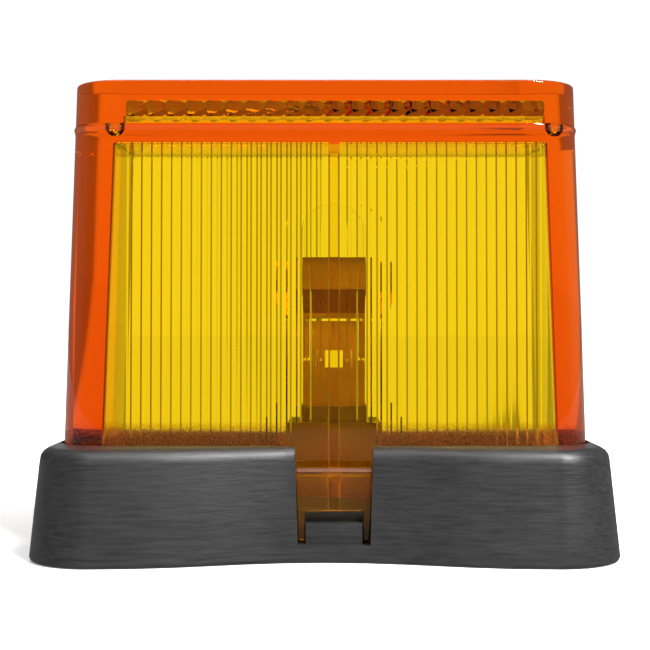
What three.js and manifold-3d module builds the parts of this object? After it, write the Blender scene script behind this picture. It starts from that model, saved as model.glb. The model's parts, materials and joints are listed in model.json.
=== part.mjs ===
// Amber warning light for a barrier board: a snap-on fluted lens with a reflex cap, on a waisted black base.
// Millimetres. +Z points away from the mounting surface and -Y is the front. The origin is the centre of the
// underside. The lens lifts off upwards. A capless wedge bulb stands between two sprung contact blades. The
// working parts (latches, bulb, optics) share one centre line, a little right of the middle of the base.
import * as THREE from "three";
import { mergeVertices } from "three/addons/utils/BufferGeometryUtils.js";
import Module from "manifold-3d";

const wasm = await Module();
wasm.setup();

// ---------------------------------------------------------------- driving dimensions
const BASE = { width: 86.6, depth: 44.6, corner: 10, waist: 5.3, height: 16.6, wall: 2.4 };
const BASE_DRAFT = THREE.MathUtils.degToRad(5.9);
const BASE_FILLET = 2; // round along the top edge
const BASE_FOOT_ROUND = 0.7; // round along the bottom edge
const LENS = { width: 79.8, depth: 26, corner: 8.2, wall: 2, foot: 9.2, ceiling: 61.6, top: 64.2 };
const LENS_DRAFT = THREE.MathUtils.degToRad(1.82);
const CORNER_TAPER = 0.4; // how fast the lens corner radius shrinks as the draft draws the walls in
const CAVITY = { left: 33.2, right: 34.6, corner: 0.6 }; // of the lens, at its foot: the ends are thick
const FLUTE = { pitch: 1.479, width: 0.85, crest: 0.35, proud: 0.14, first: 2.26, count: 20 };
const RIB = { width: 1.66, crest: 1.5, proud: 1, gusset: 1.8, reach: 4.6 };
const CAP = { top: 70.7, roof: 2.5, wall: 2, edge: 0.25, left: 30.1, right: 32.6 };
const REFLEX = { cell: 3, eachSide: 10, z: 66.9, backing: 4.4, cant: -0.35, low: 65.4 }; // on each long wall
const PEG = { sides: [-1, 1], x: 32.6, y: -8.2, radius: 1.1, depth: 1.5 }; // cap pegs in the lens ceiling
const BEAD = { proud: 0.2, height: 1.2 }; // the weld bead round the joint between lens and cap
const FIT = 0.35; // gap round the lens foot
const DECK = { under: 5.5, top: 7.5 };
const COLLAR = 2; // wall round the lens well
const UPSTAND = { gap: 0.6, wall: 1.5, top: 12.6 };
const GASKET = { width: 2.2, height: 2 };
const SLOT = { floor: 2.6, halfFloor: 5.25, halfTop: 5.75, back: LENS.depth / 2 + FIT - 0.05 };
const LUG = { half: 4.1, face: 15.6, top: 5.6 };
const TONGUE = { outer: 15.3, thick: 1.4, root: 12.6, shoulder: 14.4, bar: 7.3, toe: 3.1 };
const LEG = { side: 0.2, inner: 4.3 }; // tongue legs: gap to the slot, and half the space between them
const HINGE_GAP = 0.2; // between the lens and the flexing tongue below its shoulder
const MOUNT = { x: 26.5, boss: 4.2, sleeve: 3.1, bore: 2.3, top: 9, washer: 0.8, shank: 2, head: 3.6 };
const GROMMET = { x: 18.6, hole: 2.6, flange: 3.6 };
const BLOCK = { halfLong: 13.5, halfDeep: 7, shelf: 12, halfBody: 7, bodyTop: 19.5, halfNeck: 5, top: 21.9 };
const BLADE = { half: 4.75, rootHalf: 4, thick: 0.5, y: 3.2, root: 16, top: 44.5 };
const KNEE = { low: 35.9, high: 39.5, y: 6 }; // where the blades spread to clear the bulb
const SLIT = { half: 3.9, tongueHalf: 3.5, low: 28.7, high: 35.3, tip: 34.9, lean: 0.95 };
const WINDOW = { half: 1.4, low: 27.6, high: 30.4 };
const TERMINAL = { x: 10, screw: 1.4, head: 2.5, strip: 0.5, half: 2.2, end: 13 };
const RIVET = { x: 11.6, y: 5, shank: 1, head: 1.7 };
const BULB = { radius: 5, glass: 0.4, neck: 36, shoulder: 38.8, dome: 49.2, top: 53.2 };
const WEDGE = { half: 4.6, pinch: 1.2, low: 27.7 };
const LEAD = { x: 2.5, radius: 0.25, hole: 0.52, top: 41, fold: 1.6, low: 27.2, hookTop: 31.5 };
const OFFSET = 1.35; // of the working parts' centre line from the middle of the base, along X
const CLEAR = 0.05; // between pieces that rest on one another
const PAST = 1; // how far a cutter runs past the face it cuts

// ---------------------------------------------------------------- from geometry to solids and back
function solid(geometry) {
  const plain = geometry.index ? geometry.toNonIndexed() : geometry.clone();
  plain.deleteAttribute("normal");
  plain.deleteAttribute("uv");
  const merged = mergeVertices(plain, 1e-4);
  return new wasm.Manifold(
    new wasm.Mesh({
      numProp: 3,
      vertProperties: merged.attributes.position.array,
      triVerts: new Uint32Array(merged.index.array),
    }),
  );
}

function geometryOf(body) {
  const mesh = body.getMesh();
  const points = new Float32Array(mesh.numVert * 3);
  for (let i = 0; i < mesh.numVert; i++) {
    const start = i * mesh.numProp;
    points.set(mesh.vertProperties.subarray(start, start + 3), i * 3);
  }
  const geometry = new THREE.BufferGeometry();
  geometry.setAttribute("position", new THREE.BufferAttribute(points, 3));
  geometry.setIndex(new THREE.BufferAttribute(mesh.triVerts, 1));
  geometry.computeVertexNormals();
  return geometry;
}

// ---------------------------------------------------------------- shapes
function box(x0, x1, y0, y1, z0, z1) {
  const geometry = new THREE.BoxGeometry(x1 - x0, y1 - y0, z1 - z0);
  return solid(geometry.translate((x0 + x1) / 2, (y0 + y1) / 2, (z0 + z1) / 2));
}

function rod(radius, z0, z1, x = 0, y = 0, sides = 32) {
  const geometry = new THREE.CylinderGeometry(radius, radius, z1 - z0, sides);
  return solid(geometry.rotateX(Math.PI / 2).translate(x, y, (z0 + z1) / 2));
}

// A turned piece about the Z axis, from [radius, z] pairs that start and end on the axis.
function turned(profile, x = 0, y = 0, sides = 32) {
  const points = profile.map(([radius, z]) => new THREE.Vector2(radius, z));
  return solid(new THREE.LatheGeometry(points, sides).rotateX(Math.PI / 2).translate(x, y, 0));
}

// A flat outline pushed up from z0 to z1.
function prism(points, z0, z1) {
  const shape = new THREE.Shape(points);
  const geometry = new THREE.ExtrudeGeometry(shape, { depth: z1 - z0, bevelEnabled: false });
  return solid(geometry.translate(0, 0, z0));
}

// A side-view outline of [y, z] pairs, pushed along X from x0 to x1.
function slabAlongX(profile, x0, x1) {
  const shape = new THREE.Shape(profile.map(([y, z]) => new THREE.Vector2(y, z)));
  const geometry = new THREE.ExtrudeGeometry(shape, { depth: x1 - x0, bevelEnabled: false });
  const toSide = new THREE.Matrix4().makeBasis(
    new THREE.Vector3(0, 1, 0),
    new THREE.Vector3(0, 0, 1),
    new THREE.Vector3(1, 0, 0),
  );
  return solid(geometry.applyMatrix4(toSide).translate(x0, 0, 0));
}

// A front-view outline of [x, z] pairs, pushed along Y from y0 to y1.
function slabAlongY(profile, y0, y1) {
  const shape = new THREE.Shape(profile.map(([x, z]) => new THREE.Vector2(x, z)));
  const geometry = new THREE.ExtrudeGeometry(shape, { depth: y1 - y0, bevelEnabled: false });
  return solid(geometry.rotateX(Math.PI / 2).translate(0, y1, 0));
}

// A round wire of the given radius along a smooth curve through [x, y, z] points.
function wire(points, radius, steps) {
  const path = new THREE.CatmullRomCurve3(points.map((p) => new THREE.Vector3(...p)));
  const section = new THREE.Shape().absarc(0, 0, radius, 0, 2 * Math.PI, false);
  return solid(new THREE.ExtrudeGeometry(section, { steps, curveSegments: 4, extrudePath: path }));
}

// The outline of a shape as anticlockwise points, without the repeat of its first point.
function outlineOf(shape, divisions) {
  const points = shape.getPoints(divisions);
  if (points[0].distanceTo(points[points.length - 1]) < 1e-6) points.pop();
  return points;
}

// Joins the outlines that outlineAt gives for each [z, inset] level into one closed solid.
function loft(outlineAt, levels) {
  const rings = levels.map(([z, inset]) => outlineAt(inset).map((p) => [p.x, p.y, z]));
  const count = rings[0].length;
  const faces = [];
  for (let level = 0; level + 1 < rings.length; level++) {
    for (let i = 0; i < count; i++) {
      const low = level * count + i;
      const lowNext = level * count + ((i + 1) % count);
      faces.push(low, lowNext, lowNext + count, low, lowNext + count, low + count);
    }
  }
  const flat = (ring) => ring.map(([x, y]) => new THREE.Vector2(x, y));
  const capFaces = (ring) => THREE.ShapeUtils.triangulateShape(flat(ring), []);
  const topStart = (rings.length - 1) * count;
  for (const [a, b, c] of capFaces(rings[0])) faces.push(a, c, b);
  for (const [a, b, c] of capFaces(rings.at(-1))) faces.push(topStart + a, topStart + b, topStart + c);
  const geometry = new THREE.BufferGeometry();
  geometry.setAttribute("position", new THREE.Float32BufferAttribute(rings.flat(2), 3));
  geometry.setIndex(faces);
  return solid(geometry);
}

function roundedOutline(width, depth, corner) {
  const x = width / 2 - corner;
  const y = depth / 2 - corner;
  const shape = new THREE.Shape();
  shape.absarc(x, -y, corner, -Math.PI / 2, 0, false);
  shape.absarc(x, y, corner, 0, Math.PI / 2, false);
  shape.absarc(-x, y, corner, Math.PI / 2, Math.PI, false);
  shape.absarc(-x, -y, corner, Math.PI, 1.5 * Math.PI, false);
  return outlineOf(shape, 6);
}

// A rounded rectangle whose long sides draw in to a waist at the middle, along smooth S-curves.
function waistedOutline(inset) {
  const corner = BASE.corner - inset;
  const x = BASE.width / 2 - BASE.corner;
  const y = BASE.depth / 2 - BASE.corner;
  const side = BASE.depth / 2 - inset;
  const middle = side - BASE.waist;
  const shape = new THREE.Shape();
  shape.moveTo(0, -middle);
  shape.bezierCurveTo(0.4 * x, -middle, 0.55 * x, -side, x, -side);
  shape.absarc(x, -y, corner, -Math.PI / 2, 0, false);
  shape.absarc(x, y, corner, 0, Math.PI / 2, false);
  shape.bezierCurveTo(0.55 * x, side, 0.4 * x, middle, 0, middle);
  shape.bezierCurveTo(-0.4 * x, middle, -0.55 * x, side, -x, side);
  shape.absarc(-x, y, corner, Math.PI / 2, Math.PI, false);
  shape.absarc(-x, -y, corner, Math.PI, 1.5 * Math.PI, false);
  shape.bezierCurveTo(-0.55 * x, -side, -0.4 * x, -middle, 0, -middle);
  return outlineOf(shape, 6);
}

function lensOutline(inset) {
  return roundedOutline(LENS.width - 2 * inset, LENS.depth - 2 * inset, LENS.corner - inset);
}

// A section of the drafted lens or cap.
function draftedOutline(inset) {
  const corner = LENS.corner - CORNER_TAPER * inset;
  return roundedOutline(LENS.width - 2 * inset, LENS.depth - 2 * inset, corner);
}

const lensInset = (z) => (z - LENS.foot) * Math.tan(LENS_DRAFT);

// The lens hollow, square-cornered: flat-topped flutes and a rib stand proud of its front wall.
function hollowOutline(inset) {
  const halfDeep = LENS.depth / 2 - LENS.wall - inset;
  const wallSteps = [[OFFSET, RIB]];
  for (let i = 0; i < FLUTE.count; i++) {
    const x = FLUTE.first + i * FLUTE.pitch;
    wallSteps.push([OFFSET + x, FLUTE], [OFFSET - x, FLUTE]);
  }
  wallSteps.sort((a, b) => a[0] - b[0]);
  const frontWall = wallSteps.flatMap(([x, { width, crest, proud }]) => [
    [x - width / 2, -halfDeep],
    [x - crest / 2, proud - halfDeep],
    [x + crest / 2, proud - halfDeep],
    [x + width / 2, -halfDeep],
  ]);
  const frontCorner = (side, reach, degrees) =>
    degrees.map(THREE.MathUtils.degToRad).map((angle) => [
      side * (reach - inset - CAVITY.corner * (1 - Math.sin(angle))),
      CAVITY.corner * (1 - Math.cos(angle)) - halfDeep,
    ]);
  const left = frontCorner(-1, CAVITY.left, [90, 60, 30, 0]);
  const right = frontCorner(1, CAVITY.right, [0, 30, 60, 90]);
  const rear = [...left, ...right].map(([x, y]) => [x, -y]).reverse();
  return [...left, ...frontWall, ...right, ...rear].map(([x, y]) => new THREE.Vector2(x, y));
}

// A square-cornered hollow that reaches further to the right than to the left.
function hollowPlan(left, right, depth) {
  const middle = (right - left) / 2;
  const outline = roundedOutline(left + right, depth, CAVITY.corner);
  return outline.map((point) => new THREE.Vector2(point.x + middle, point.y));
}

// The plain outline of the lens hollow at its foot, drawn in by the given gap.
function cavityOutline(gap) {
  return hollowPlan(CAVITY.left - gap, CAVITY.right - gap, LENS.depth - 2 * (LENS.wall + gap));
}

const union = (...bodies) => bodies.reduce((sum, body) => sum.add(body));
const cut = (body, ...cutters) => cutters.reduce((rest, cutter) => rest.subtract(cutter), body);
const turnHalf = (body) => body.rotate([0, 0, 180]);
const bothEnds = (body) => body.add(turnHalf(body));
const mirrored = (body) => body.mirror([0, 1, 0]); // front to rear
const onCentreLine = (body) => body.translate([OFFSET, 0, 0]);

// ---------------------------------------------------------------- base
function baseShell() {
  const levels = [];
  const arcSteps = 4;
  for (let i = 0; i <= 2; i++) {
    const angle = (i / 2) * (Math.PI / 2);
    levels.push([BASE_FOOT_ROUND * (1 - Math.cos(angle)), BASE_FOOT_ROUND * (1 - Math.sin(angle))]);
  }
  const filletStart = BASE.height - BASE_FILLET;
  const insetThere = filletStart * Math.tan(BASE_DRAFT);
  for (let i = 0; i <= arcSteps; i++) {
    const angle = (i / arcSteps) * (Math.PI / 2);
    const inset = insetThere + BASE_FILLET * (1 - Math.cos(angle));
    levels.push([filletStart + BASE_FILLET * Math.sin(angle), inset]);
  }
  return loft(waistedOutline, levels);
}

// The two slots for the lens tongues, open at the top and wider there.
function slotCutter() {
  const low = SLOT.floor;
  const high = BASE.height + PAST;
  const profile = [
    [-SLOT.halfFloor, low],
    [SLOT.halfFloor, low],
    [SLOT.halfTop, high],
    [-SLOT.halfTop, high],
  ];
  return onCentreLine(bothEnds(slabAlongY(profile, -BASE.depth / 2 - PAST, -SLOT.back)));
}

function baseHousing() {
  const well = (grow) => lensOutline(-FIT - grow);
  const channelRoof = BASE.height - BASE.wall;
  const channel = cut(
    prism(waistedOutline(BASE.wall), -PAST, channelRoof),
    prism(well(COLLAR), -2 * PAST, channelRoof + PAST),
  );
  const upstand = cut(
    prism(cavityOutline(UPSTAND.gap), DECK.top - CLEAR, UPSTAND.top),
    prism(cavityOutline(UPSTAND.gap + UPSTAND.wall), DECK.under, UPSTAND.top + PAST),
    onCentreLine(box(-1.6, 1.6, -LENS.depth, 0, DECK.top, UPSTAND.top + PAST)),
  );
  const shell = cut(
    baseShell(),
    channel,
    prism(well(0), DECK.top, BASE.height + PAST),
    prism(well(0), -PAST, GASKET.height),
    prism(well(-GASKET.width), -PAST, DECK.under),
    slotCutter(),
  );
  const lug = box(-LUG.half, LUG.half, -LUG.face, -SLOT.back + 0.2, SLOT.floor - CLEAR, LUG.top);
  const boss = rod(MOUNT.boss, 0, MOUNT.top, -MOUNT.x);
  return cut(
    union(shell, upstand, onCentreLine(bothEnds(lug)), bothEnds(boss)),
    bothEnds(rod(MOUNT.sleeve + CLEAR, -PAST, MOUNT.top + PAST, -MOUNT.x)),
    rod(GROMMET.hole, 0, DECK.top + PAST, GROMMET.x),
    onCentreLine(rivetHoles()),
  );
}

function rivetHoles() {
  return bothEnds(rod(RIVET.shank + 0.1, 0, BLOCK.shelf + PAST, RIVET.x, RIVET.y, 16));
}

const mountingGasket = () =>
  cut(
    prism(lensOutline(-FIT + CLEAR), 0, GASKET.height - CLEAR),
    prism(lensOutline(-FIT + GASKET.width), -PAST, GASKET.height + PAST),
  );

const lensSeal = () =>
  cut(
    prism(lensOutline(-FIT + 0.1), DECK.top + CLEAR, LENS.foot - 0.1),
    prism(cavityOutline(UPSTAND.gap - 0.1), DECK.top - PAST, LENS.foot + PAST),
  );

const cableGrommet = () =>
  turned(
    [
      [0, DECK.top],
      [1.6, DECK.top],
      [2.2, DECK.top + 1.6],
      [GROMMET.flange - 0.6, DECK.top + 1.2],
      [GROMMET.flange, DECK.top + CLEAR],
      [GROMMET.hole - CLEAR, DECK.top + CLEAR],
      [GROMMET.hole - CLEAR, DECK.under - CLEAR],
      [GROMMET.flange, DECK.under - CLEAR],
      [GROMMET.flange - 0.6, DECK.under - 1.1],
      [2.2, DECK.under - 1.1],
      [1.6, DECK.top - 0.8],
      [0, DECK.top - 0.8],
    ].reverse(),
    GROMMET.x,
  );

// ---------------------------------------------------------------- fixing screws
function mountingSleeve(x) {
  return cut(rod(MOUNT.sleeve, 0, MOUNT.top, x), rod(MOUNT.bore, -PAST, MOUNT.top + PAST, x));
}

function mountingWasher(x) {
  const low = MOUNT.top + CLEAR;
  return cut(rod(MOUNT.boss, low, low + MOUNT.washer, x), rod(MOUNT.bore, 0, low + 2 * PAST, x));
}

// A pan-headed screw, shown backed out so that its point stays inside the underside.
function mountingScrew(x) {
  const seat = MOUNT.top + MOUNT.washer + 2 * CLEAR;
  const profile = [
    [0, 0.6],
    [0.8, 1.8],
    [MOUNT.shank, 3],
    [MOUNT.shank, seat],
    [MOUNT.head, seat],
    [MOUNT.head, seat + 1.2],
    [2.4, seat + 2.5],
    [0, seat + 2.7],
  ];
  const recess = union(
    box(x - 1.7, x + 1.7, -0.4, 0.4, seat + 1.3, seat + 4),
    box(x - 0.4, x + 0.4, -1.7, 1.7, seat + 1.3, seat + 4),
  );
  return cut(turned(profile, x), recess);
}

// ---------------------------------------------------------------- bulb holder
function terminalBlock() {
  const { halfLong, halfDeep, shelf, halfBody, bodyTop, halfNeck, top } = BLOCK;
  const block = union(
    box(-halfLong, halfLong, -halfDeep, halfDeep, DECK.top + CLEAR, shelf),
    box(-halfBody, halfBody, -halfDeep, halfDeep, shelf - PAST, bodyTop),
    box(-halfNeck, halfNeck, -4.8, 4.8, bodyTop - PAST, top),
  );
  const pocketHalf = BLADE.rootHalf + 0.3;
  const pocket = box(-pocketHalf, pocketHalf, -BLADE.y - 0.6, 0.6 - BLADE.y, shelf, top + PAST);
  const stripWay = box(-halfBody - PAST, -0.7, -BLADE.y - 0.6, TERMINAL.half + 0.3, shelf, shelf + 0.85);
  const screwHole = rod(TERMINAL.screw + 0.2, 8.3, BLOCK.shelf + PAST, -TERMINAL.x, 0, 16);
  return cut(block, bothEnds(pocket), bothEnds(stripWay), bothEnds(screwHole), rivetHoles());
}

function blockRivet(side) {
  const top = BLOCK.shelf + CLEAR;
  const under = DECK.under - CLEAR;
  const profile = [
    [0, under - 0.8],
    [1.2, under - 0.8],
    [RIVET.head, under - 0.4],
    [RIVET.head, under],
    [RIVET.shank, under],
    [RIVET.shank, top],
    [RIVET.head, top],
    [RIVET.head, top + 0.4],
    [1, top + 0.9],
    [0, top + 0.9],
  ];
  return turned(profile, side * RIVET.x, side * RIVET.y, 20);
}

// The fixed strip from the terminal screw to the foot of a contact blade. Modelled for the left end.
function terminalStrip() {
  const low = BLOCK.shelf + CLEAR;
  const flat = box(-TERMINAL.end, -1, -BLADE.y - 0.25, TERMINAL.half, low, low + TERMINAL.strip);
  const upturn = box(-BLADE.rootHalf, -1, -BLADE.y - 0.25, 0.25 - BLADE.y, low, BLADE.root - 0.3);
  const trim = box(-TERMINAL.end - PAST, -BLOCK.halfBody, -BLADE.y - PAST, -TERMINAL.half, 0, 20);
  return cut(union(flat, upturn), trim, rod(TERMINAL.screw + 0.3, 0, 20, -TERMINAL.x, 0, 16));
}

const clampLow = BLOCK.shelf + TERMINAL.strip + 2 * CLEAR;

function terminalClamp() {
  const plate = box(-TERMINAL.x - 2.7, -TERMINAL.x + 2.7, -2.7, 2.7, clampLow, clampLow + 0.8);
  return cut(plate, rod(TERMINAL.screw + 0.3, 0, 20, -TERMINAL.x, 0, 16));
}

function terminalScrew() {
  const seat = clampLow + 0.8 + CLEAR;
  const profile = [
    [0, 8.5],
    [TERMINAL.screw, 8.9],
    [TERMINAL.screw, seat],
    [TERMINAL.head, seat],
    [TERMINAL.head, seat + 1.4],
    [2.1, seat + 1.8],
    [0, seat + 1.8],
  ];
  const slot = box(-TERMINAL.x - 3, -TERMINAL.x + 3, -0.35, 0.35, seat + 0.9, seat + 3);
  return cut(turned(profile, -TERMINAL.x, 0, 24), slot);
}

// The front contact blade: a bent strip with a spring tongue cut free on three sides and a square window.
function contactBlade() {
  const half = BLADE.thick / 2;
  const strip = slabAlongX(
    [
      [-BLADE.y - half, BLADE.root],
      [half - BLADE.y, BLADE.root],
      [half - BLADE.y, KNEE.low],
      [half - KNEE.y, KNEE.high],
      [half - KNEE.y, 43.4],
      [half - KNEE.y - 0.5, BLADE.top],
      [-half - KNEE.y - 0.5, BLADE.top],
      [-half - KNEE.y, 43.5],
      [-half - KNEE.y, KNEE.high + 0.2],
      [-BLADE.y - half, KNEE.low + 0.2],
    ],
    -BLADE.half,
    BLADE.half,
  );
  const opening = union(
    box(-SLIT.half, SLIT.half, -BLADE.y - PAST, PAST - BLADE.y, SLIT.low, SLIT.high),
    box(-SLIT.half - 0.8, SLIT.half + 0.8, -BLADE.y - PAST, PAST - BLADE.y, SLIT.low, SLIT.low + 0.5),
  );
  const tongue = slabAlongX(
    [
      [-BLADE.y - half, SLIT.low - 0.6],
      [half - BLADE.y, SLIT.low - 0.6],
      [half - BLADE.y + SLIT.lean, SLIT.tip],
      [-half - BLADE.y + SLIT.lean, SLIT.tip],
    ],
    -SLIT.tongueHalf,
    SLIT.tongueHalf,
  );
  const shoulders = union(
    box(-BLADE.half - PAST, -BLADE.rootHalf, -8, 0, BLADE.root - PAST, BLOCK.top + CLEAR),
    box(BLADE.rootHalf, BLADE.half + PAST, -8, 0, BLADE.root - PAST, BLOCK.top + CLEAR),
  );
  const window = box(-WINDOW.half, WINDOW.half, -6, 0, WINDOW.low, WINDOW.high);
  return cut(cut(strip, opening, shoulders).add(tongue), window);
}

// ---------------------------------------------------------------- bulb
function bulbEnvelope(shrink) {
  const r = BULB.radius - shrink;
  const profile = [[0, BULB.neck + 1.3 * shrink], [0.55 * r, BULB.neck + 0.4 + shrink], [r, BULB.shoulder]];
  const steps = 6;
  for (let i = 0; i < steps; i++) {
    const angle = (i / steps) * (Math.PI / 2);
    profile.push([r * Math.cos(angle), BULB.dome + (BULB.top - BULB.dome - shrink) * Math.sin(angle)]);
  }
  profile.push([0, BULB.top - shrink]);
  return turned(profile, 0, 0, 28);
}

function bulbGlass() {
  const wedge = box(-WEDGE.half, WEDGE.half, -WEDGE.pinch, WEDGE.pinch, WEDGE.low, BULB.neck + 1.2);
  return cut(
    union(bulbEnvelope(0), wedge),
    bulbEnvelope(BULB.glass),
    bothEnds(rod(LEAD.hole, WEDGE.low - PAST, BULB.neck + 4, LEAD.x, 0, 12)),
  );
}

// A lead-in wire: down through the pinch, round its foot and up its outer face. Modelled for the front.
function bulbLead() {
  const x = -LEAD.x;
  const points = [
    [x, 0, LEAD.top],
    [x, 0, 37],
    [x, 0, 32],
    [x, 0, LEAD.low + 0.8],
    [x, -LEAD.fold / 2, LEAD.low],
    [x, -LEAD.fold, LEAD.low + 0.8],
    [x, -LEAD.fold, LEAD.hookTop],
  ];
  return wire(points, LEAD.radius, 24);
}

function bulbFilament() {
  const points = [
    [-LEAD.x, 0, LEAD.top + 0.5],
    [-1.2, 0, LEAD.top + 1.8],
    [0, 0, LEAD.top + 2.2],
    [1.2, 0, LEAD.top + 1.8],
    [LEAD.x, 0, LEAD.top + 0.5],
  ];
  return wire(points, 0.22, 14);
}

// ---------------------------------------------------------------- lens
function tongueHalf(z) {
  const rise = (z - SLOT.floor) / (BASE.height + PAST - SLOT.floor);
  return SLOT.halfFloor + (SLOT.halfTop - SLOT.halfFloor) * rise - LEG.side;
}

// The shoulder that carries a tongue out from the front wall, sloping on top.
function tongueShoulder() {
  const wallFace = LENS.depth / 2 - lensInset(TONGUE.shoulder);
  const profile = [
    [0.6 - wallFace, TONGUE.root],
    [0.6 - wallFace, TONGUE.shoulder],
    [-wallFace, TONGUE.shoulder],
    [-TONGUE.outer + 0.5, TONGUE.root + 0.9],
    [-TONGUE.outer, TONGUE.root + 0.4],
    [-TONGUE.outer, TONGUE.root],
  ];
  return slabAlongX(profile, -tongueHalf(TONGUE.root), tongueHalf(TONGUE.root));
}

function lensBody() {
  const outer = loft(draftedOutline, [
    [LENS.foot, 0],
    [LENS.top - BEAD.height, lensInset(LENS.top - BEAD.height)],
    [LENS.top - BEAD.height / 2, lensInset(LENS.top) - 0.75 * BEAD.proud],
    [LENS.top, lensInset(LENS.top) - BEAD.proud],
  ]);
  const hollow = loft(hollowOutline, [
    [LENS.foot - PAST, lensInset(LENS.foot - PAST)],
    [LENS.ceiling, lensInset(LENS.ceiling)],
  ]);
  const wallFace = LENS.depth / 2 - LENS.wall - lensInset(LENS.ceiling);
  const ribHalf = RIB.width / 2;
  const gussetLow = LENS.ceiling - RIB.gusset;
  const gusset = box(-ribHalf, ribHalf, -wallFace - 0.5, RIB.reach - wallFace, gussetLow, LENS.ceiling + 0.5);
  const pegHoles = PEG.sides.map((side) =>
    rod(PEG.radius + 0.3, LENS.top - PEG.depth - 0.3, LENS.top + PAST, side * PEG.x + OFFSET, PEG.y, 16),
  );
  const details = onCentreLine(union(gusset, bothEnds(tongueShoulder())));
  return cut(union(cut(outer, hollow), details), ...pegHoles);
}

// The flexing tongue below the front shoulder: a cross-bar and two legs that straddle the lug of the base.
function lensLatch() {
  const top = TONGUE.root - HINGE_GAP;
  const blank = [
    [-tongueHalf(TONGUE.toe), TONGUE.toe],
    [tongueHalf(TONGUE.toe), TONGUE.toe],
    [tongueHalf(top), top],
    [-tongueHalf(top), top],
  ];
  const inner = TONGUE.thick - TONGUE.outer;
  const plate = slabAlongY(blank, -TONGUE.outer, inner);
  const rib = box(-RIB.width / 2, RIB.width / 2, inner - 0.1, inner + 0.35, TONGUE.bar, top);
  const front = -TONGUE.outer - PAST;
  const opening = box(-LEG.inner, LEG.inner, front, inner + PAST, TONGUE.toe - PAST, TONGUE.bar);
  return cut(union(plate, rib), opening);
}

// ---------------------------------------------------------------- reflex cap
// A row of canted cube corners, pointing down from a flat back at z = 0: hexagonal cells of three faces each.
function reflexRow() {
  const side = REFLEX.cell / Math.sqrt(3);
  const rise = side / Math.SQRT2; // a third of the cube's body diagonal
  const points = [];
  const lookup = new Map();
  const vertex = (x, y, z) => {
    const key = [x, y, z].map((v) => v.toFixed(3)).join();
    if (!lookup.has(key)) {
      lookup.set(key, points.length);
      points.push([x + REFLEX.cant * (z + REFLEX.backing), y, z]);
    }
    return lookup.get(key);
  };
  const faces = [];
  const rim = new Map();
  for (let column = -REFLEX.eachSide; column <= REFLEX.eachSide; column++) {
    const cx = column * REFLEX.cell;
    const apex = vertex(cx, 0, -REFLEX.backing - 2 * rise);
    const back = vertex(cx, 0, 0);
    for (let k = 0; k < 6; k++) {
      const corner = (step) => {
        const angle = Math.PI / 6 + (step * Math.PI) / 3;
        return [cx + side * Math.cos(angle), side * Math.sin(angle)];
      };
      const height = (step) => -REFLEX.backing - (step % 2 ? rise : 0);
      const [ax, ay] = corner(k);
      const [bx, by] = corner(k + 1);
      const low = [vertex(ax, ay, height(k)), vertex(bx, by, height(k + 1))];
      const high = [vertex(ax, ay, 0), vertex(bx, by, 0)];
      faces.push(apex, low[1], low[0], back, high[0], high[1]);
      rim.set(`${low[0]},${low[1]}`, [...low, ...high]);
    }
  }
  for (const [lowA, lowB, highA, highB] of rim.values()) {
    if (!rim.has(`${lowB},${lowA}`)) faces.push(lowA, lowB, highB, lowA, highB, highA);
  }
  const geometry = new THREE.BufferGeometry();
  geometry.setAttribute("position", new THREE.Float32BufferAttribute(points.flat(), 3));
  geometry.setIndex(faces);
  return solid(geometry);
}

function reflexCap() {
  const foot = LENS.top + CLEAR;
  const edgeStart = CAP.top - CAP.edge;
  const levels = [[foot, lensInset(foot)]];
  for (let i = 0; i <= 3; i++) {
    const angle = (i / 3) * (Math.PI / 2);
    const inset = lensInset(edgeStart) + CAP.edge * (1 - Math.cos(angle));
    levels.push([edgeStart + CAP.edge * Math.sin(angle), inset]);
  }
  const roofUnder = CAP.top - CAP.roof;
  const halfDeep = LENS.depth / 2 - lensInset(CAP.top) - CAP.wall;
  const hollow = prism(hollowPlan(CAP.left, CAP.right, 2 * halfDeep), foot - PAST, roofUnder);
  const cells = reflexRow().rotate([90, 0, 0]).translate([OFFSET, -halfDeep - 0.2, REFLEX.z]);
  const row = cut(cells, box(-LENS.width, LENS.width, -LENS.depth, LENS.depth, REFLEX.low - 5, REFLEX.low));
  const barBack = REFLEX.backing - halfDeep - 0.3;
  const bar = box(-CAP.left - 0.2, CAP.right + 0.2, -halfDeep - 0.2, barBack, REFLEX.low, roofUnder + 0.2);
  const optics = union(bar, row);
  const pegs = PEG.sides.map((side) =>
    rod(PEG.radius, LENS.top - PEG.depth, roofUnder + 0.2, side * PEG.x + OFFSET, PEG.y, 16),
  );
  const shell = cut(loft(draftedOutline, levels), hollow);
  return union(shell, optics, mirrored(optics), ...pegs);
}

// ---------------------------------------------------------------- materials
const finish = (color, roughness, metalness = 0, opacity = 1) =>
  new THREE.MeshStandardMaterial({ color, roughness, metalness, opacity, transparent: opacity < 1 });
const blackPlastic = finish(0x2c2c2d, 0.5);
const softRubber = finish(0x1a1a1a, 0.9);
const moulding = finish(0x3a2a1c, 0.55);
const amber = finish(0xf07800, 0.08, 0, 0.6);
const bronze = finish(0xa8743c, 0.35, 1);
const zinc = finish(0xc4c6c8, 0.3, 1);
const glass = finish(0xffffff, 0.03, 0, 0.3);
const tungsten = finish(0x6a6a70, 0.4, 1);

// ---------------------------------------------------------------- assembly
const light = new THREE.Group();

function place(name, body, material) {
  const mesh = new THREE.Mesh(geometryOf(body), material);
  mesh.name = name;
  light.add(mesh);
  return mesh;
}

// A working part, modelled about the Z axis and set on the shared centre line, half turned or not.
function placeOnCentreLine(name, body, material, halfTurn = false) {
  const mesh = place(name, body, material);
  mesh.position.x = OFFSET;
  if (halfTurn) mesh.rotation.z = Math.PI;
}

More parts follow.
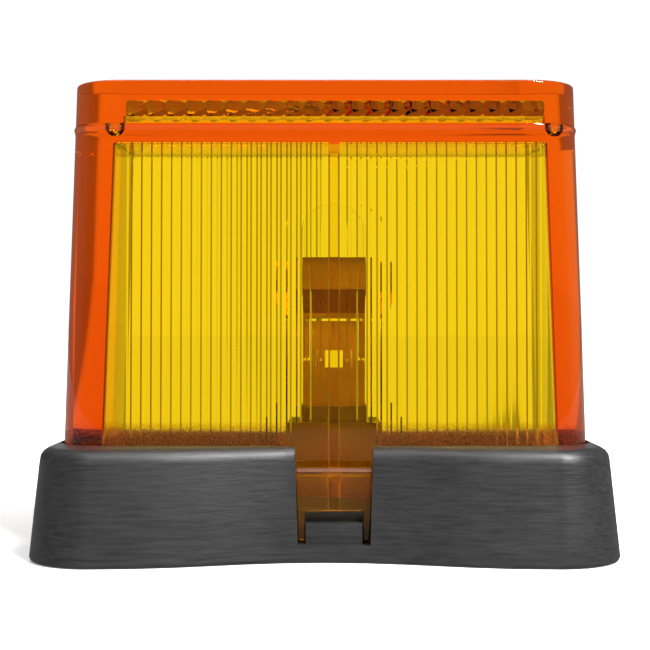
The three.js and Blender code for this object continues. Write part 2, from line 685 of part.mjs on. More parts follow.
place("base_housing", baseHousing(), blackPlastic);
place("mounting_gasket", mountingGasket(), softRubber);
place("lens_seal", lensSeal(), softRubber);
place("cable_grommet", cableGrommet(), softRubber);
for (const [side, x] of [["left", -MOUNT.x], ["right", MOUNT.x]]) {
  place(`mounting_sleeve_${side}`, mountingSleeve(x), zinc);
  place(`mounting_washer_${side}`, mountingWasher(x), softRubber);
  place(`mounting_screw_${side}`, mountingScrew(x), zinc);
}
placeOnCentreLine("terminal_block", terminalBlock(), moulding);
placeOnCentreLine("block_rivet_left", blockRivet(-1), zinc);
placeOnCentreLine("block_rivet_right", blockRivet(1), zinc);
for (const [pole, halfTurn] of [["live", false], ["earth", true]]) {
  placeOnCentreLine(`terminal_strip_${pole}`, terminalStrip(), bronze, halfTurn);
  placeOnCentreLine(`terminal_clamp_${pole}`, terminalClamp(), zinc, halfTurn);
  placeOnCentreLine(`terminal_screw_${pole}`, terminalScrew(), zinc, halfTurn);
}
for (const [side, halfTurn] of [["front", false], ["rear", true]]) {
  placeOnCentreLine(`contact_blade_${side}`, contactBlade(), bronze, halfTurn);
  placeOnCentreLine(`bulb_lead_${side}`, bulbLead(), tungsten, halfTurn);
  placeOnCentreLine(`lens_latch_${side}`, lensLatch(), amber, halfTurn);
}
placeOnCentreLine("bulb_glass", bulbGlass(), glass);
placeOnCentreLine("bulb_filament", bulbFilament(), tungsten);
place("lens_body", lensBody(), amber);
place("reflex_cap", reflexCap(), amber);

export default light;
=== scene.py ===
"""Looks of the amber barrier-board warning light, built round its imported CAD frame.

Lengths in the tables below are millimetres in the CAD frame: +Z away from the mounting surface, -Y the front.
"""

import json
import math

import bmesh
import bpy
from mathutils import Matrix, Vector
from mathutils.geometry import tessellate_polygon


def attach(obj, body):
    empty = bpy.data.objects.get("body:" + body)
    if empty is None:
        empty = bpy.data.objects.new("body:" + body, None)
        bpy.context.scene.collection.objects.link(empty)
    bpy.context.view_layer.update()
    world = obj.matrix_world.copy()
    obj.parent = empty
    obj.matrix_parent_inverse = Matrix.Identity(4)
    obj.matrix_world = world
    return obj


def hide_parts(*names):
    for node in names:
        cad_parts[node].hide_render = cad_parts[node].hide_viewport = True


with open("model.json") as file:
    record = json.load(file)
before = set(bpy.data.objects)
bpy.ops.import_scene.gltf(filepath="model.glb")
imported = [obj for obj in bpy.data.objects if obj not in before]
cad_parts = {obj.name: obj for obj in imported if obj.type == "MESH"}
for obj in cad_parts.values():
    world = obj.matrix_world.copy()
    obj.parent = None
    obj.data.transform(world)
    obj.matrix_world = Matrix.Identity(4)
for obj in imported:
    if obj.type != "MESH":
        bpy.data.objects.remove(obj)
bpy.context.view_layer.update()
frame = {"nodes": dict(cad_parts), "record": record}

MM = 0.001
SMOOTH_ANGLE = 32  # degrees: edges sharper than this stay sharp
CRISP_ANGLE = 20  # the same for the optics, whose flute flanks are shallow
OVERLAP = 0.2  # how far pieces that are joined run into one another

# ---------------------------------------------------------------- dimensions
LENS = {"width": 79.8, "depth": 26.0, "corner": 8.2, "wall": 2.0, "foot": 9.2, "ceiling": 61.6, "top": 64.2}
LENS_SLOPE = math.tan(math.radians(1.82))
CORNER_TAPER = 0.4  # how fast the corner radius shrinks as the draft draws the walls in
BEAD = {"proud": 0.2, "height": 1.2}
CEILING_ROUND = 0.45
CORNER_STEPS = 8  # facets in a rounded ceiling or top edge
CAVITY = {"left": 33.2, "right": 34.6, "corner": 0.6}  # of the lens, at its foot: the ends are thick
FLUTE = {"pitch": 1.479, "first": 2.26, "count": 20, "width": 0.85, "proud": 0.14}
FLUTE_SHAPE = ((-1, 0), (-0.41, 1), (0.41, 1), (1, 0))
RIB_SHAPE = ((-1, 0), (-0.86, 0.9), (-0.7, 1), (0.7, 1), (0.86, 0.9), (1, 0))
RIB = {"width": 1.66, "proud": 1.0, "gusset": 1.8, "reach": 4.6}
CAP = {"top": 70.7, "roof": 2.5, "wall": 2.0, "edge": 0.45, "left": 30.1, "right": 32.6, "gap": 0.05}
REFLEX = {"cell": 3.0, "each_side": 10, "z": 66.9, "backing": 4.4, "cant": -0.35, "low": 65.4}
PEG = {"x": 32.6, "y": -8.2, "radius": 1.1, "depth": 1.5}
TONGUE = {"outer": 15.3, "thick": 1.4, "root": 12.6, "shoulder": 14.4, "bar": 7.3, "toe": 3.1, "gap": 0.2}
LEG_INNER = 4.3
OFFSET = 1.35  # of the working parts' centre line from the middle of the base
SLOT = {"floor": 2.6, "half_floor": 5.25, "half_top": 5.75, "side": 0.2, "height": 17.6}


def lens_inset(z):
    return (z - LENS["foot"]) * LENS_SLOPE


# ---------------------------------------------------------------- mesh helpers
def rounded_outline(width, depth, corner, steps=20):
    """A rounded rectangle as anticlockwise points."""
    x, y = width / 2 - corner, depth / 2 - corner
    points = []
    for cx, cy, start in ((x, -y, -90), (x, y, 0), (-x, y, 90), (-x, -y, 180)):
        for i in range(steps + 1):
            angle = math.radians(start + 90 * i / steps)
            points.append((cx + corner * math.cos(angle), cy + corner * math.sin(angle)))
    return points


def lens_outline(inset):
    """A section of the drafted lens or cap."""
    corner = LENS["corner"] - CORNER_TAPER * inset
    return rounded_outline(LENS["width"] - 2 * inset, LENS["depth"] - 2 * inset, corner)


def hollow_outline(inset):
    """The lens hollow, square-cornered, with ridges that stand proud of its front wall."""
    half_deep = LENS["depth"] / 2 - LENS["wall"] - inset
    ridges = [(OFFSET, RIB["width"] / 2, RIB["proud"], RIB_SHAPE)]
    for i in range(FLUTE["count"]):
        x = FLUTE["first"] + i * FLUTE["pitch"]
        for side in (-1, 1):
            ridges.append((OFFSET + side * x, FLUTE["width"] / 2, FLUTE["proud"], FLUTE_SHAPE))
    wall = []
    for x, half_width, proud, shape in sorted(ridges):
        wall += [(x + a * half_width, up * proud - half_deep) for a, up in shape]

    def front_corner(side, reach, degrees):
        corner = CAVITY["corner"]
        points = []
        for angle in [math.radians(degree) for degree in degrees]:
            x = reach - inset - corner * (1 - math.sin(angle))
            points.append((side * x, corner * (1 - math.cos(angle)) - half_deep))
        return points

    left = front_corner(-1, CAVITY["left"], range(90, -1, -10))
    right = front_corner(1, CAVITY["right"], range(0, 91, 10))
    return left + wall + right + [(x, -y) for x, y in reversed(left + right)]


def add_loft(bm, rings):
    """Faces between successive rings of (x, y, z) points. Returns the vertices of each ring."""
    made = [[bm.verts.new(p) for p in ring] for ring in rings]
    for low, high in zip(made, made[1:]):
        for i, vert in enumerate(low):
            following = (i + 1) % len(low)
            bm.faces.new((vert, low[following], high[following], high[i]))
    return made


def add_cap(bm, loops):
    """Closes one loop of vertices, or the ring between an outer and an inner loop."""
    corners = [vert for loop in loops for vert in loop]
    for triangle in tessellate_polygon([[vert.co for vert in loop] for loop in loops]):
        bm.faces.new([corners[i] for i in triangle])


def ring(outline, z):
    return [(x, y, z) for x, y in outline]


def finish_mesh(name, bm, angle=SMOOTH_ANGLE):
    """Turns a bmesh in millimetres into an object in metres, smooth except across sharp edges."""
    bmesh.ops.recalc_face_normals(bm, faces=bm.faces)
    bmesh.ops.scale(bm, vec=(MM, MM, MM), verts=bm.verts)
    mesh = bpy.data.meshes.new(name)
    bm.to_mesh(mesh)
    bm.free()
    return finish_object(name, mesh, angle)


def finish_object(name, mesh, angle=SMOOTH_ANGLE):
    mesh.shade_smooth()
    mesh.set_sharp_from_angle(angle=math.radians(angle))
    obj = bpy.data.objects.new(name, mesh)
    bpy.context.scene.collection.objects.link(obj)
    return obj


def add_prism(bm, outline, low, high):
    """A straight-sided solid, where outline maps (a, b, c) points at c = low and c = high."""
    rings = add_loft(bm, [[(a, b, low) for a, b in outline], [(a, b, high) for a, b in outline]])
    add_cap(bm, [rings[0]])
    add_cap(bm, [rings[1]])
    return rings[0] + rings[1]


def box(name, across, along, up):
    bm = bmesh.new()
    outline = [(across[0], along[0]), (across[1], along[0]), (across[1], along[1]), (across[0], along[1])]
    add_prism(bm, outline, *up)
    return finish_mesh(name, bm)


def slab_along_x(name, profile, half):
    """A side-view outline of (y, z) pairs, pushed along X to half on each side of the centre line."""
    bm = bmesh.new()
    verts = add_prism(bm, profile, OFFSET - half, OFFSET + half)
    for vert in verts:
        vert.co = (vert.co.z, vert.co.x, vert.co.y)
    return finish_mesh(name, bm)


def slab_along_y(name, profile, low, high):
    """A front-view outline of (x, z) pairs from the centre line, pushed along Y from low to high."""
    bm = bmesh.new()
    verts = add_prism(bm, profile, low, high)
    for vert in verts:
        vert.co = (vert.co.x + OFFSET, vert.co.z, vert.co.y)
    return finish_mesh(name, bm)


def combine(target, others, operation, angle=SMOOTH_ANGLE):
    """Joins other solids to the target, or cuts them from it, and removes them."""
    for other in others:
        modifier = target.modifiers.new("combine", "BOOLEAN")
        modifier.operation = operation
        modifier.solver = "EXACT"
        modifier.object = other
    depsgraph = bpy.context.evaluated_depsgraph_get()
    mesh = bpy.data.meshes.new_from_object(target.evaluated_get(depsgraph))
    target.modifiers.clear()
    old = target.data
    target.data = mesh
    bpy.data.meshes.remove(old)
    target.data.shade_smooth()
    target.data.set_sharp_from_angle(angle=math.radians(angle))
    for other in others:
        bpy.data.objects.remove(other)
    return target


def round_edges(obj, width, angle=40, segments=3):
    modifier = obj.modifiers.new("round", "BEVEL")
    modifier.width = width * MM
    modifier.segments = segments
    modifier.limit_method = "ANGLE"
    modifier.angle_limit = math.radians(angle)
    modifier.use_clamp_overlap = True
    modifier.harden_normals = False
    return obj


# ---------------------------------------------------------------- lens
def peg(name, x, low, high, radius):
    """A round-nosed peg, pointing down, that locates the cap on the lens."""
    bm = bmesh.new()
    rings = []
    for i in range(5):
        angle = math.radians(90 * i / 4)
        r = max(radius * math.sin(angle), 0.02)
        rings.append((r, low + radius * (1 - math.cos(angle))))
    rings.append((radius, high))
    loops = []
    for r, z in rings:
        loops.append([(OFFSET + x + r * math.cos(t), PEG["y"] + r * math.sin(t), z) for t in circle(28)])
    made = add_loft(bm, loops)
    add_cap(bm, [made[0]])
    add_cap(bm, [made[-1]])
    return finish_mesh(name, bm)


def circle(count):
    return [2 * math.pi * i / count for i in range(count)]


def tongue_half(z):
    """Half the width of a snap tongue, which narrows downwards with its slot."""
    rise = (z - SLOT["floor"]) / (SLOT["height"] - SLOT["floor"])
    return SLOT["half_floor"] + (SLOT["half_top"] - SLOT["half_floor"]) * rise - SLOT["side"]


def lens_gusset():
    """A short web under the ceiling, behind the front wall. It stops short of the bulb."""
    wall_face = LENS["depth"] / 2 - LENS["wall"] - lens_inset(LENS["ceiling"])
    low = LENS["ceiling"] - RIB["gusset"]
    high = LENS["ceiling"] + 0.5
    front, back = -wall_face - 0.5, RIB["reach"] - wall_face
    return slab_along_x("gusset", [(front, low), (front, high), (back, high), (back, low)], RIB["width"] / 2)


def lens_shoulder(side):
    """The sloping shoulder that carries a snap tongue out from the front (-1) or rear (1) wall."""
    wall_face = LENS["depth"] / 2 - lens_inset(TONGUE["shoulder"])
    profile = [
        (wall_face - 0.6, TONGUE["root"]),
        (wall_face - 0.6, TONGUE["shoulder"]),
        (wall_face, TONGUE["shoulder"]),
        (TONGUE["outer"] - 0.5, TONGUE["root"] + 0.9),
        (TONGUE["outer"], TONGUE["root"] + 0.4),
        (TONGUE["outer"], TONGUE["root"]),
    ]
    return slab_along_x("shoulder", [(side * y, z) for y, z in profile], tongue_half(TONGUE["root"]))


def build_lens():
    """The hollow amber box: drafted outside with a weld bead, ridged inside, closed by its ceiling."""
    bm = bmesh.new()
    top = LENS["top"]
    outer_levels = [
        (LENS["foot"], 0.25),
        (LENS["foot"] + 0.25, 0.0),
        (top - BEAD["height"], lens_inset(top - BEAD["height"])),
        (top - 0.75 * BEAD["height"], lens_inset(top) - 0.35 * BEAD["proud"]),
        (top - 0.5 * BEAD["height"], lens_inset(top) - 0.75 * BEAD["proud"]),
        (top - 0.25 * BEAD["height"], lens_inset(top) - BEAD["proud"]),
        (top - 0.15, lens_inset(top) - BEAD["proud"] + 0.03),
        (top, lens_inset(top) - BEAD["proud"] + 0.11),
    ]
    outer = add_loft(bm, [ring(lens_outline(inset), z) for z, inset in outer_levels])
    low, high = LENS["foot"], LENS["ceiling"]
    inner_rings = [ring(hollow_outline(lens_inset(low)), low)]
    for i in range(CORNER_STEPS + 1):
        angle = math.radians(90 * i / CORNER_STEPS)
        z = high - CEILING_ROUND * (1 - math.sin(angle))
        inset = lens_inset(high) + CEILING_ROUND * (1 - math.cos(angle))
        inner_rings.append(ring(hollow_outline(inset), z))
    inner = add_loft(bm, inner_rings)
    add_cap(bm, [outer[-1]])
    add_cap(bm, [inner[-1]])
    add_cap(bm, [outer[0], inner[0]])
    lens = finish_mesh("lens_shell", bm)
    combine(lens, [lens_gusset(), lens_shoulder(-1), lens_shoulder(1)], "UNION")
    holes = [
        peg("hole", side * PEG["x"], top - PEG["depth"] - 0.3, top + 1, PEG["radius"] + 0.25)
        for side in (-1, 1)
    ]
    return combine(lens, holes, "DIFFERENCE", CRISP_ANGLE)


def build_latch(name, side):
    """A snap tongue: a cross-bar with two legs, its edges softened."""
    top = TONGUE["root"] - TONGUE["gap"]
    toe, bar = TONGUE["toe"], TONGUE["bar"]
    profile = [
        (-tongue_half(toe), toe),
        (-LEG_INNER, toe),
        (-LEG_INNER, bar),
        (LEG_INNER, bar),
        (LEG_INNER, toe),
        (tongue_half(toe), toe),
        (tongue_half(top), top),
        (-tongue_half(top), top),
    ]
    faces = sorted((side * TONGUE["outer"], side * (TONGUE["outer"] - TONGUE["thick"])))
    latch = slab_along_y(name, profile, *faces)
    inner = TONGUE["outer"] - TONGUE["thick"]
    rib_faces = sorted((side * (inner + 0.1), side * (inner - 0.35)))
    half = RIB["width"] / 2
    rib_outline = [(-half, bar), (half, bar), (half, top), (-half, top)]
    combine(latch, [slab_along_y("rib", rib_outline, *rib_faces)], "UNION")
    return round_edges(latch, 0.16)


# ---------------------------------------------------------------- reflex cap
def reflex_row(side, wall_face):
    """A bar along a long wall of the cap, with a row of canted cube corners of three faces each."""
    radius = REFLEX["cell"] / math.sqrt(3)
    rise = radius / math.sqrt(2)  # a third of the cube's body diagonal
    bm = bmesh.new()
    known = {}

    def vertex(x, up, depth):
        key = (round(x, 3), round(up, 3), round(depth, 3))
        if key not in known:
            across = OFFSET + x - REFLEX["cant"] * (depth - REFLEX["backing"])
            known[key] = bm.verts.new((across, side * (wall_face + OVERLAP - depth), REFLEX["z"] + up))
        return known[key]

    rim = {}
    for column in range(-REFLEX["each_side"], REFLEX["each_side"] + 1):
        middle = column * REFLEX["cell"]
        turns = [math.pi / 6 + k * math.pi / 3 for k in range(6)]
        corners = [(middle + radius * math.cos(turn), radius * math.sin(turn)) for turn in turns]
        apex = vertex(middle, 0, REFLEX["backing"] + 2 * rise)
        depths = [REFLEX["backing"] + (rise if k % 2 else 0) for k in range(6)]
        deep = [vertex(x, up, depth) for (x, up), depth in zip(corners, depths)]
        back = [vertex(x, up, 0) for x, up in corners]
        for k in (0, 2, 4):
            bm.faces.new((apex, deep[k - 1], deep[k], deep[k + 1]))
        bm.faces.new(back)
        for k in range(6):
            after = (k + 1) % 6
            rim[(deep[k], deep[after])] = (deep[k], deep[after], back[after], back[k])
    for (first, second), quad in rim.items():
        if (second, first) not in rim:
            bm.faces.new(quad)
    row = finish_mesh("reflex_row", bm, CRISP_ANGLE)
    below = box("below", (-40, 40), (-20, 20), (REFLEX["low"] - 5, REFLEX["low"]))
    combine(row, [below], "DIFFERENCE", CRISP_ANGLE)
    near, far = wall_face + OVERLAP, wall_face + 0.3 - REFLEX["backing"]
    across = (-CAP["left"] - OVERLAP, CAP["right"] + OVERLAP)
    up = (REFLEX["low"], CAP["top"] - CAP["roof"] + OVERLAP)
    bar = box("bar", across, sorted((side * near, side * far)), up)
    return combine(row, [bar], "UNION", CRISP_ANGLE)


def top_edge_ring(angle):
    """A ring of the cap's rounded top edge, which sharpens towards the rear."""
    edge = CAP["edge"]
    start = lens_inset(CAP["top"] - edge)
    square = lens_outline(start)
    rounded = lens_outline(start + edge * (1 - math.cos(angle)))
    points = []
    for (x0, y0), (x1, y1) in zip(square, rounded):
        share = min(max((6 - y0) / 12, 0.15), 1)
        drop = edge * share * (1 - math.sin(angle))
        points.append((x0 + (x1 - x0) * share, y0 + (y1 - y0) * share, CAP["top"] - drop))
    return points


def build_cap():
    """The cap: a hollow box with a bar and a row of reflex cells along each long wall, and two pegs."""
    bm = bmesh.new()
    foot = LENS["top"] + CAP["gap"]
    top = CAP["top"]
    outer_levels = [(foot, lens_inset(foot) + 0.08), (foot + 0.08, lens_inset(foot))]
    rings = [ring(lens_outline(inset), z) for z, inset in outer_levels]
    rings += [top_edge_ring(math.radians(90 * i / CORNER_STEPS)) for i in range(CORNER_STEPS + 1)]
    outer = add_loft(bm, rings)
    roof_under = top - CAP["roof"]
    wall_face = LENS["depth"] / 2 - lens_inset(top) - CAP["wall"]
    shift = (CAP["right"] - CAP["left"]) / 2
    plan = rounded_outline(CAP["left"] + CAP["right"], 2 * wall_face, CAVITY["corner"], 6)
    hollow = [(x + shift, y) for x, y in plan]
    inner = add_loft(bm, [ring(hollow, foot), ring(hollow, roof_under)])
    add_cap(bm, [outer[-1]])
    add_cap(bm, [inner[-1]])
    add_cap(bm, [outer[0], inner[0]])
    cap = finish_mesh("cap_shell", bm)
    pegs = [
        peg("peg", side * PEG["x"], LENS["top"] - PEG["depth"], roof_under + OVERLAP, PEG["radius"])
        for side in (-1, 1)
    ]
    rows = [reflex_row(-1, wall_face), reflex_row(1, wall_face)]
    return combine(cap, rows + pegs, "UNION", CRISP_ANGLE)


# ---------------------------------------------------------------- material helpers
class Nodes:
    """A material's node tree, with short ways to add and link its nodes."""

    def __init__(self, name):
        self.material = bpy.data.materials.new(name)
        self.material.use_nodes = True
        self.tree = self.material.node_tree
        self.shader = self.tree.nodes["Principled BSDF"]
        self.output = self.tree.nodes["Material Output"]
        self.coordinates = self.tree.nodes.new("ShaderNodeTexCoord").outputs["Object"]

    def link(self, source, target):
        self.tree.links.new(source, target)

    def noise(self, scale, stretch=(1, 1, 1), detail=4.0, roughness=0.55):
        mapping = self.tree.nodes.new("ShaderNodeMapping")
        mapping.inputs["Scale"].default_value = stretch
        self.link(self.coordinates, mapping.inputs["Vector"])
        texture = self.tree.nodes.new("ShaderNodeTexNoise")
        texture.inputs["Scale"].default_value = scale
        texture.inputs["Detail"].default_value = detail
        texture.inputs["Roughness"].default_value = roughness
        self.link(mapping.outputs["Vector"], texture.inputs["Vector"])
        return texture.outputs["Fac"]

    def along(self, axis):
        """The position along an axis, in metres."""
        split = self.tree.nodes.new("ShaderNodeSeparateXYZ")
        self.link(self.coordinates, split.inputs["Vector"])
        return split.outputs[axis]

    def multiply(self, first, second):
        return self.combine("MULTIPLY", first, second)

    def larger(self, first, second):
        return self.combine("MAXIMUM", first, second)

    def combine(self, operation, first, second):
        node = self.tree.nodes.new("ShaderNodeMath")
        node.operation = operation
        self.link(first, node.inputs[0])
        self.link(second, node.inputs[1])
        return node.outputs["Value"]

    def spread(self, value, low, high, start=0.3, end=0.7):
        """Maps value from the span start..end to low..high."""
        node = self.tree.nodes.new("ShaderNodeMapRange")
        node.inputs["From Min"].default_value = start
        node.inputs["From Max"].default_value = end
        node.inputs["To Min"].default_value = low
        node.inputs["To Max"].default_value = high
        self.link(value, node.inputs["Value"])
        return node.outputs["Result"]

    def mix(self, factor, first, second):
        node = self.tree.nodes.new("ShaderNodeMix")
        node.data_type = "RGBA"
        node.inputs["A"].default_value = (*first, 1)
        node.inputs["B"].default_value = (*second, 1)
        self.link(factor, node.inputs["Factor"])
        return node.outputs["Result"]

    def bump(self, height, distance, strength=1.0, below=None):
        node = self.tree.nodes.new("ShaderNodeBump")
        node.inputs["Strength"].default_value = strength
        node.inputs["Distance"].default_value = distance
        self.link(height, node.inputs["Height"])
        if below is not None:
            self.link(below, node.inputs["Normal"])
        return node.outputs["Normal"]

    def put(self, socket, value):
        target = self.shader.inputs[socket]
        if isinstance(value, bpy.types.NodeSocket):
            self.link(value, target)
        else:
            target.default_value = value


# ---------------------------------------------------------------- materials
ABSORPTION = {"density": 1250.0, "color": (0.995, 0.9176, 0.0)}  # per metre of amber plastic
HAZE_TOP = (0.0165, 0.0185)  # metres up: the haze and grain fade out between these heights
GRAIN_FRONT = (0.001, 0.002)  # metres back: the grain fades in between these


def amber_plastic():
    """Clear amber plastic, hazy at the foot and finely grained at the foot of its rear half."""
    nodes = Nodes("amber_plastic")
    nodes.put("Base Color", (1, 1, 1, 1))
    nodes.put("Transmission Weight", 1.0)
    nodes.put("IOR", 1.49)
    low = nodes.spread(nodes.along("Z"), 1.0, 0.0, *HAZE_TOP)
    rear = nodes.spread(nodes.along("Y"), 0.0, 1.0, *GRAIN_FRONT)
    speckle = nodes.spread(nodes.noise(2600, detail=2), 0.1, 1.0)
    grained = nodes.multiply(nodes.multiply(low, rear), speckle)
    nodes.put("Roughness", nodes.spread(grained, 0.01, 0.4, 0.0, 1.0))
    nodes.put("Normal", nodes.bump(nodes.noise(55, (1, 1, 0.4), detail=1), 0.00002, 0.5))
    cloud = nodes.tree.nodes.new("ShaderNodeBsdfTranslucent")
    cloud.inputs["Color"].default_value = (1.0, 0.58, 0.15, 1)
    skin = nodes.tree.nodes.new("ShaderNodeMixShader")
    haze = nodes.spread(low, 0.0, 0.22, 0.0, 1.0)
    nodes.link(nodes.larger(haze, nodes.spread(grained, 0.0, 0.9, 0.0, 1.0)), skin.inputs["Fac"])
    nodes.link(nodes.shader.outputs["BSDF"], skin.inputs[1])
    nodes.link(cloud.outputs["BSDF"], skin.inputs[2])
    nodes.link(skin.outputs["Shader"], nodes.output.inputs["Surface"])
    volume = nodes.tree.nodes.new("ShaderNodeVolumeAbsorption")
    volume.inputs["Color"].default_value = (*ABSORPTION["color"], 1)
    volume.inputs["Density"].default_value = ABSORPTION["density"]
    nodes.link(volume.outputs["Volume"], nodes.output.inputs["Volume"])
    return nodes.material


def black_plastic():
    """Satin black moulding with a fine grain drawn along X."""
    nodes = Nodes("black_plastic")
    grain = nodes.noise(2600, (0.06, 0.3, 1.0), detail=6, roughness=0.7)
    blotch = nodes.noise(60, detail=3)
    shade = nodes.spread(grain, 0, 1)
    nodes.put("Base Color", nodes.mix(shade, (0.006, 0.006, 0.0065), (0.022, 0.022, 0.023)))
    nodes.put("Roughness", nodes.spread(blotch, 0.36, 0.52))
    nodes.put("Specular IOR Level", 0.5)
    pitted = nodes.bump(nodes.noise(2600, detail=2), 0.00002, 0.35)
    nodes.put("Normal", nodes.bump(grain, 0.00005, 0.8, pitted))
    return nodes.material


def soft_rubber():
    nodes = Nodes("soft_rubber")
    nodes.put("Base Color", nodes.mix(nodes.noise(300), (0.01, 0.01, 0.01), (0.03, 0.03, 0.03)))
    nodes.put("Roughness", nodes.spread(nodes.noise(700), 0.7, 0.95))
    nodes.put("Normal", nodes.bump(nodes.noise(1800, detail=2), 0.00004, 0.5))
    return nodes.material


def brown_moulding():
    nodes = Nodes("brown_moulding")
    nodes.put("Base Color", nodes.mix(nodes.noise(350), (0.12, 0.06, 0.035), (0.2, 0.11, 0.06)))
    nodes.put("Roughness", nodes.spread(nodes.noise(500), 0.4, 0.6))
    nodes.put("Normal", nodes.bump(nodes.noise(1500, detail=3), 0.00003, 0.4))
    return nodes.material


def metal(name, dark, light, roughness, stretch):
    """Bare or plated metal with rolling marks and faint tarnish."""
    nodes = Nodes(name)
    marks = nodes.noise(1200, stretch, detail=4)
    tarnish = nodes.noise(120, detail=4)
    nodes.put("Base Color", nodes.mix(nodes.spread(tarnish, 0, 1), dark, light))
    nodes.put("Metallic", 1.0)
    nodes.put("Roughness", nodes.spread(marks, roughness - 0.08, roughness + 0.1))
    nodes.put("Normal", nodes.bump(marks, 0.00001, 0.5))
    return nodes.material


def clear_glass():
    """Bulb glass. It bends light far less than real glass, standing in for a very thin wall."""
    nodes = Nodes("clear_glass")
    nodes.put("Base Color", nodes.mix(nodes.noise(90), (0.97, 0.98, 0.98), (1, 1, 1)))
    nodes.put("Transmission Weight", 1.0)
    nodes.put("IOR", 1.02)
    nodes.put("Roughness", 0.0)
    return nodes.material


MATERIALS = {
    "amber_plastic": amber_plastic(),
    "black_plastic": black_plastic(),
    "soft_rubber": soft_rubber(),
    "moulding": brown_moulding(),
    "spring_bronze": metal("spring_bronze", (0.62, 0.3, 0.14), (0.8, 0.44, 0.22), 0.34, (1, 1, 0.05)),
    "plated_steel": metal("plated_steel", (0.42, 0.43, 0.45), (0.62, 0.63, 0.65), 0.26, (1, 1, 1)),
    "clear_glass": clear_glass(),
    "tungsten": metal("tungsten", (0.16, 0.16, 0.17), (0.32, 0.32, 0.34), 0.3, (1, 1, 1)),
}


def weigh_normals(obj):
    """Keeps the shading of large flat faces flat where they run into small round ones."""
    weighted = obj.modifiers.new("weighted", "WEIGHTED_NORMAL")
    weighted.keep_sharp = True


def dress(obj, slot):
    obj.data.materials.clear()
    obj.data.materials.append(MATERIALS[slot])


def dress_cad_nodes():
    """Gives every CAD node its material, and softens the normals across its facets."""
    for entry in frame["record"]["subparts"]:
        obj = frame["nodes"][entry["node"]]
        dress(obj, entry["material_slot"])
        if "custom_normal" in obj.data.attributes:
            obj.data.attributes.remove(obj.data.attributes["custom_normal"])
        obj.data.shade_smooth()
        weld = obj.modifiers.new("weld", "WELD")
        weld.merge_threshold = 0.002 * MM
        split = obj.modifiers.new("split", "EDGE_SPLIT")
        split.split_angle = math.radians(SMOOTH_ANGLE)
        weigh_normals(obj)


def add_piece(obj, body, slot, *nodes):
    dress(obj, slot)
    weigh_normals(obj)
    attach(obj, body)
    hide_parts(*nodes)


# ---------------------------------------------------------------- studio
# How bright the surroundings are, by the cosine of the angle, seen from above, from the middle of the white
# sheet behind the object: dim behind the camera, a grey room to the sides, and the sheet itself.
SHEET_MIDDLE = (-0.052, 0.9986, 0.0)
SURROUNDINGS = ((-0.2, 0.32), (0.1, 0.42), (0.9588, 0.42), (0.9724, 1.0))
MIRROR_LOSS = 0.26  # how much less bright they are in straight reflections
WHITE = 1.06  # strength of the background


def math_node(tree, operation, first, second):
    node = tree.nodes.new("ShaderNodeMath")
    node.operation = operation
    node.use_clamp = True
    for socket, value in zip(node.inputs, (first, second)):
        tree.links.new(value, socket)
    return node.outputs["Value"]


def vector_node(tree, operation, first, second=None):
    node = tree.nodes.new("ShaderNodeVectorMath")
    node.operation = operation
    tree.links.new(first, node.inputs[0])
    if second is not None:
        node.inputs[1].default_value = second
    return node


def surroundings(tree, direction):
    """The brightness of the surroundings in a direction, as set out above."""
    flat = vector_node(tree, "MULTIPLY", direction, (1, 1, 0))
    level = vector_node(tree, "NORMALIZE", flat.outputs["Vector"])
    facing = vector_node(tree, "DOT_PRODUCT", level.outputs["Vector"], SHEET_MIDDLE)
    place = tree.nodes.new("ShaderNodeMapRange")
    place.inputs["From Min"].default_value = -1
    tree.links.new(facing.outputs["Value"], place.inputs["Value"])
    node = tree.nodes.new("ShaderNodeValToRGB")
    node.color_ramp.interpolation = "EASE"
    while len(node.color_ramp.elements) < len(SURROUNDINGS):
        node.color_ramp.elements.new(0.5)
    for element, (cosine, grey) in zip(node.color_ramp.elements, SURROUNDINGS):
        element.position = (cosine + 1) / 2
        element.color = (grey, grey, grey, 1)
    tree.links.new(place.outputs["Result"], node.inputs["Fac"])
    return node.outputs["Color"]


def build_floor():
    """A pale sheet with a painted glow, weak near the object and full farther off, so that it brightens into
    the white background. Seen through the lens it is plain white, a painted glow as bright as the
    surroundings.
    """
    bpy.ops.mesh.primitive_plane_add(size=6, location=(0, 1.5, 0))
    floor = bpy.context.object
    floor.name = "floor"
    nodes = Nodes("pale_floor_painted_glow")
    tree = nodes.tree
    position = tree.nodes.new("ShaderNodeNewGeometry")
    distance = tree.nodes.new("ShaderNodeVectorMath")
    distance.operation = "LENGTH"
    tree.links.new(position.outputs["Position"], distance.inputs[0])
    nodes.put("Base Color", nodes.mix(nodes.noise(3), (0.86, 0.86, 0.86), (0.9, 0.9, 0.9)))
    nodes.put("Roughness", 0.7)
    # painted glow: the floor's emission is weak near the object and full farther off, so it fades into the
    # white background
    nodes.put("Emission Color", (1, 1, 1, 1))
    nodes.put("Emission Strength", nodes.spread(distance.outputs["Value"], 0.3, 1.0, 0.06, 0.2))
    # painted glow: in reflections and through the lens the floor glows as bright as the surroundings, without
    # its own shading
    path = tree.nodes.new("ShaderNodeLightPath")
    plain = tree.nodes.new("ShaderNodeEmission")
    tree.links.new(surroundings(tree, position.outputs["Position"]), plain.inputs["Color"])
    choice = tree.nodes.new("ShaderNodeMixShader")
    tree.links.new(path.outputs["Is Glossy Ray"], choice.inputs["Fac"])
    tree.links.new(nodes.shader.outputs["BSDF"], choice.inputs[1])
    tree.links.new(plain.outputs["Emission"], choice.inputs[2])
    tree.links.new(choice.outputs["Shader"], nodes.output.inputs["Surface"])
    floor.data.materials.append(nodes.material)


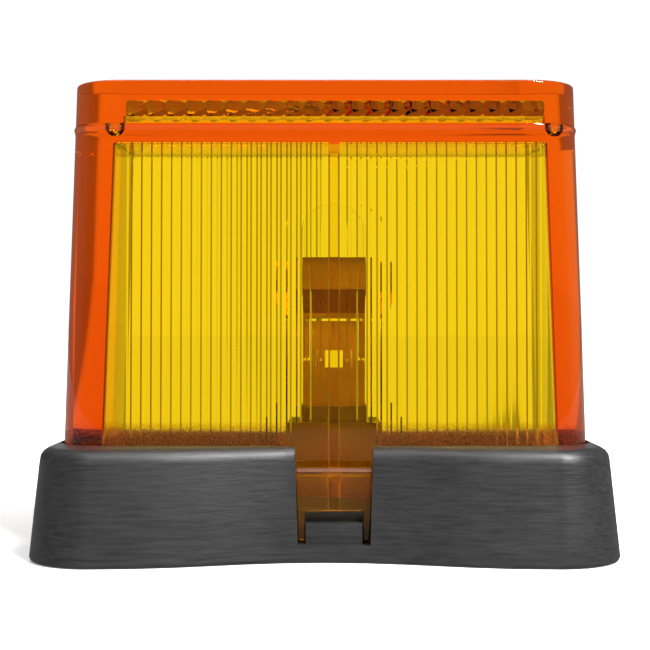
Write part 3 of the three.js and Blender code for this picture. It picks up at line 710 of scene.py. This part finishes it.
def build_world():
    """A white sheet straight behind the object, and a much dimmer room round it and the camera."""
    world = bpy.data.worlds.new("studio")
    world.use_nodes = True
    bpy.context.scene.world = world
    tree = world.node_tree
    background = tree.nodes["Background"]
    direction = tree.nodes.new("ShaderNodeTexCoord")
    grey = surroundings(tree, direction.outputs["Generated"])
    path = tree.nodes.new("ShaderNodeLightPath")
    mirrored = math_node(tree, "SUBTRACT", path.outputs["Is Glossy Ray"], path.outputs["Is Transmission Ray"])
    loss = tree.nodes.new("ShaderNodeMath")
    loss.operation = "MULTIPLY"
    loss.inputs[1].default_value = MIRROR_LOSS
    tree.links.new(mirrored, loss.inputs[0])
    dimmed = math_node(tree, "SUBTRACT", grey, loss.outputs["Value"])
    seen = math_node(tree, "ADD", dimmed, path.outputs["Is Camera Ray"])
    strength = tree.nodes.new("ShaderNodeMath")
    strength.operation = "MULTIPLY"
    strength.inputs[1].default_value = WHITE
    tree.links.new(seen, strength.inputs[0])
    tree.links.new(strength.outputs["Value"], background.inputs["Strength"])
    background.inputs["Color"].default_value = (1, 1, 1, 1)


def area_light(name, location, target, size, energy):
    data = bpy.data.lights.new(name, "AREA")
    data.shape = "RECTANGLE"
    data.size, data.size_y = size
    data.energy = energy
    light = bpy.data.objects.new(name, data)
    bpy.context.scene.collection.objects.link(light)
    light.location = location
    light.rotation_euler = (Vector(target) - Vector(location)).to_track_quat("-Z", "Y").to_euler()


def build_lights():
    """A broad lamp overhead, and a strip high at the front right, which lights the left of the waist."""
    middle = (0, 0, 0.035)
    area_light("overhead", (0, -0.1, 0.6), middle, (0.6, 0.3), 1.5)
    area_light("strip", (0.22, -0.32, 0.42), middle, (0.11, 0.35), 7.5)


CAMERA = {"back": 0.2121, "height": 0.0343, "focal": 75.2, "shift": -0.0138}  # metres, and mm of focal length


def build_camera():
    data = bpy.data.cameras.new("camera")
    data.sensor_width = 36
    data.lens = CAMERA["focal"]
    data.shift_x = CAMERA["shift"]
    data.clip_start = 0.01
    camera = bpy.data.objects.new("camera", data)
    bpy.context.scene.collection.objects.link(camera)
    camera.location = (OFFSET * MM, -CAMERA["back"], CAMERA["height"])
    camera.rotation_euler = (math.radians(90), 0, 0)
    bpy.context.scene.camera = camera


# ---------------------------------------------------------------- assembly
dress_cad_nodes()
add_piece(build_lens(), "lens", "amber_plastic", "lens_body")
add_piece(build_cap(), "lens", "amber_plastic", "reflex_cap")
add_piece(build_latch("latch_tongue_front", -1), "latch_front", "amber_plastic", "lens_latch_front")
add_piece(build_latch("latch_tongue_rear", 1), "latch_rear", "amber_plastic", "lens_latch_rear")
build_floor()
build_world()
build_lights()
build_camera()
scene = bpy.context.scene
scene.view_settings.view_transform = "Standard"
scene.cycles.transmission_bounces = 20
scene.cycles.max_bounces = 24


def corners(bounds):
    return [list(corner) for corner in bounds]
